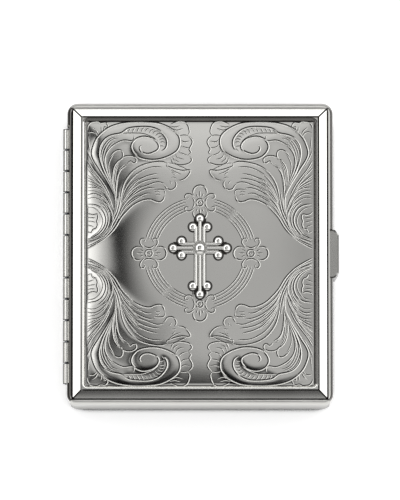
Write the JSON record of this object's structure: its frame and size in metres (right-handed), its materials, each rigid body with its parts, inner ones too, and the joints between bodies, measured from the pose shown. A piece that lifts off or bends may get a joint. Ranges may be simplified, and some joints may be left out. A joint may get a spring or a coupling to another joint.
{
  "type": "cigarette case",
  "caption": "Flat hinged metal cigarette case with a bevelled rim, engraved scrolls, an applied cross, a thumb catch and sprung inner clips.",
  "frame": {"origin": "on the surface that the case lies on, under the middle of its body", "axes": "+X from the hinge to the thumb button, +Y up the cross along the cigarettes, +Z out of the engraved front"},
  "size_m": [0.0856, 0.094, 0.0224],
  "materials": {
    "polished_case": "polished nickel plate",
    "polished_ornament": "bright polished nickel plate",
    "satin_lining": "fine satin",
    "steel_fittings": "bright drawn",
    "spring_steel": "blued grey"
  },
  "bodies": {
    "back": {"back_frame": "polished_case", "back_panel": "polished_case", "back_liner": "satin_lining", "back_hinge_leaf": "polished_case", "hinge_pin": "steel_fittings", "catch_spring": "spring_steel", "back_clip_bracket": "satin_lining", "back_clip_rivets": "steel_fittings", "back_clip_pin": "steel_fittings", "back_clip_spring": "spring_steel"},
    "lid": {"front_frame": "polished_case", "front_panel": "polished_case", "front_liner": "satin_lining", "front_hinge_leaf": "polished_case", "cross_ornament": "polished_ornament", "cross_stud": "polished_ornament", "upper_keeper": "steel_fittings", "lower_keeper": "steel_fittings", "front_clip_bracket": "satin_lining", "front_clip_rivets": "steel_fittings", "front_clip_pin": "steel_fittings", "front_clip_spring": "spring_steel"},
    "latch": {"thumb_button": "polished_case", "button_rivets": "steel_fittings", "catch_bar": "steel_fittings"},
    "back_clip": {"back_clip_arm": "satin_lining"},
    "front_clip": {"front_clip_arm": "satin_lining"}
  },
  "joints": [
    {"name": "lid_hinge", "type": "hinge", "parent": "back", "child": "lid", "pos_m": [-0.04135, 0, 0.0105], "axis": [0, -1, 0], "range_deg": [0, 175]},
    {"name": "thumb_press", "type": "slide", "parent": "back", "child": "latch", "axis": [-1, 0, 0], "range_m": [0, 0.0008], "stiffness_N_per_m": 300, "springref_m": -0.0015, "deforming": ["catch_spring"]},
    {"name": "back_clip_hinge", "type": "hinge", "parent": "back", "child": "back_clip", "pos_m": [-0.0375, 0, 0.0091], "axis": [0, -1, 0], "range_deg": [0, 5.81], "stiffness_Nm_per_rad": 0.01, "springref_deg": -28.65, "deforming": ["back_clip_spring"]},
    {"name": "front_clip_hinge", "type": "hinge", "parent": "lid", "child": "front_clip", "pos_m": [-0.0375, 0, 0.0119], "axis": [0, 1, 0], "range_deg": [0, 5.81], "stiffness_Nm_per_rad": 0.01, "springref_deg": -28.65, "deforming": ["front_clip_spring"]}
  ]
}
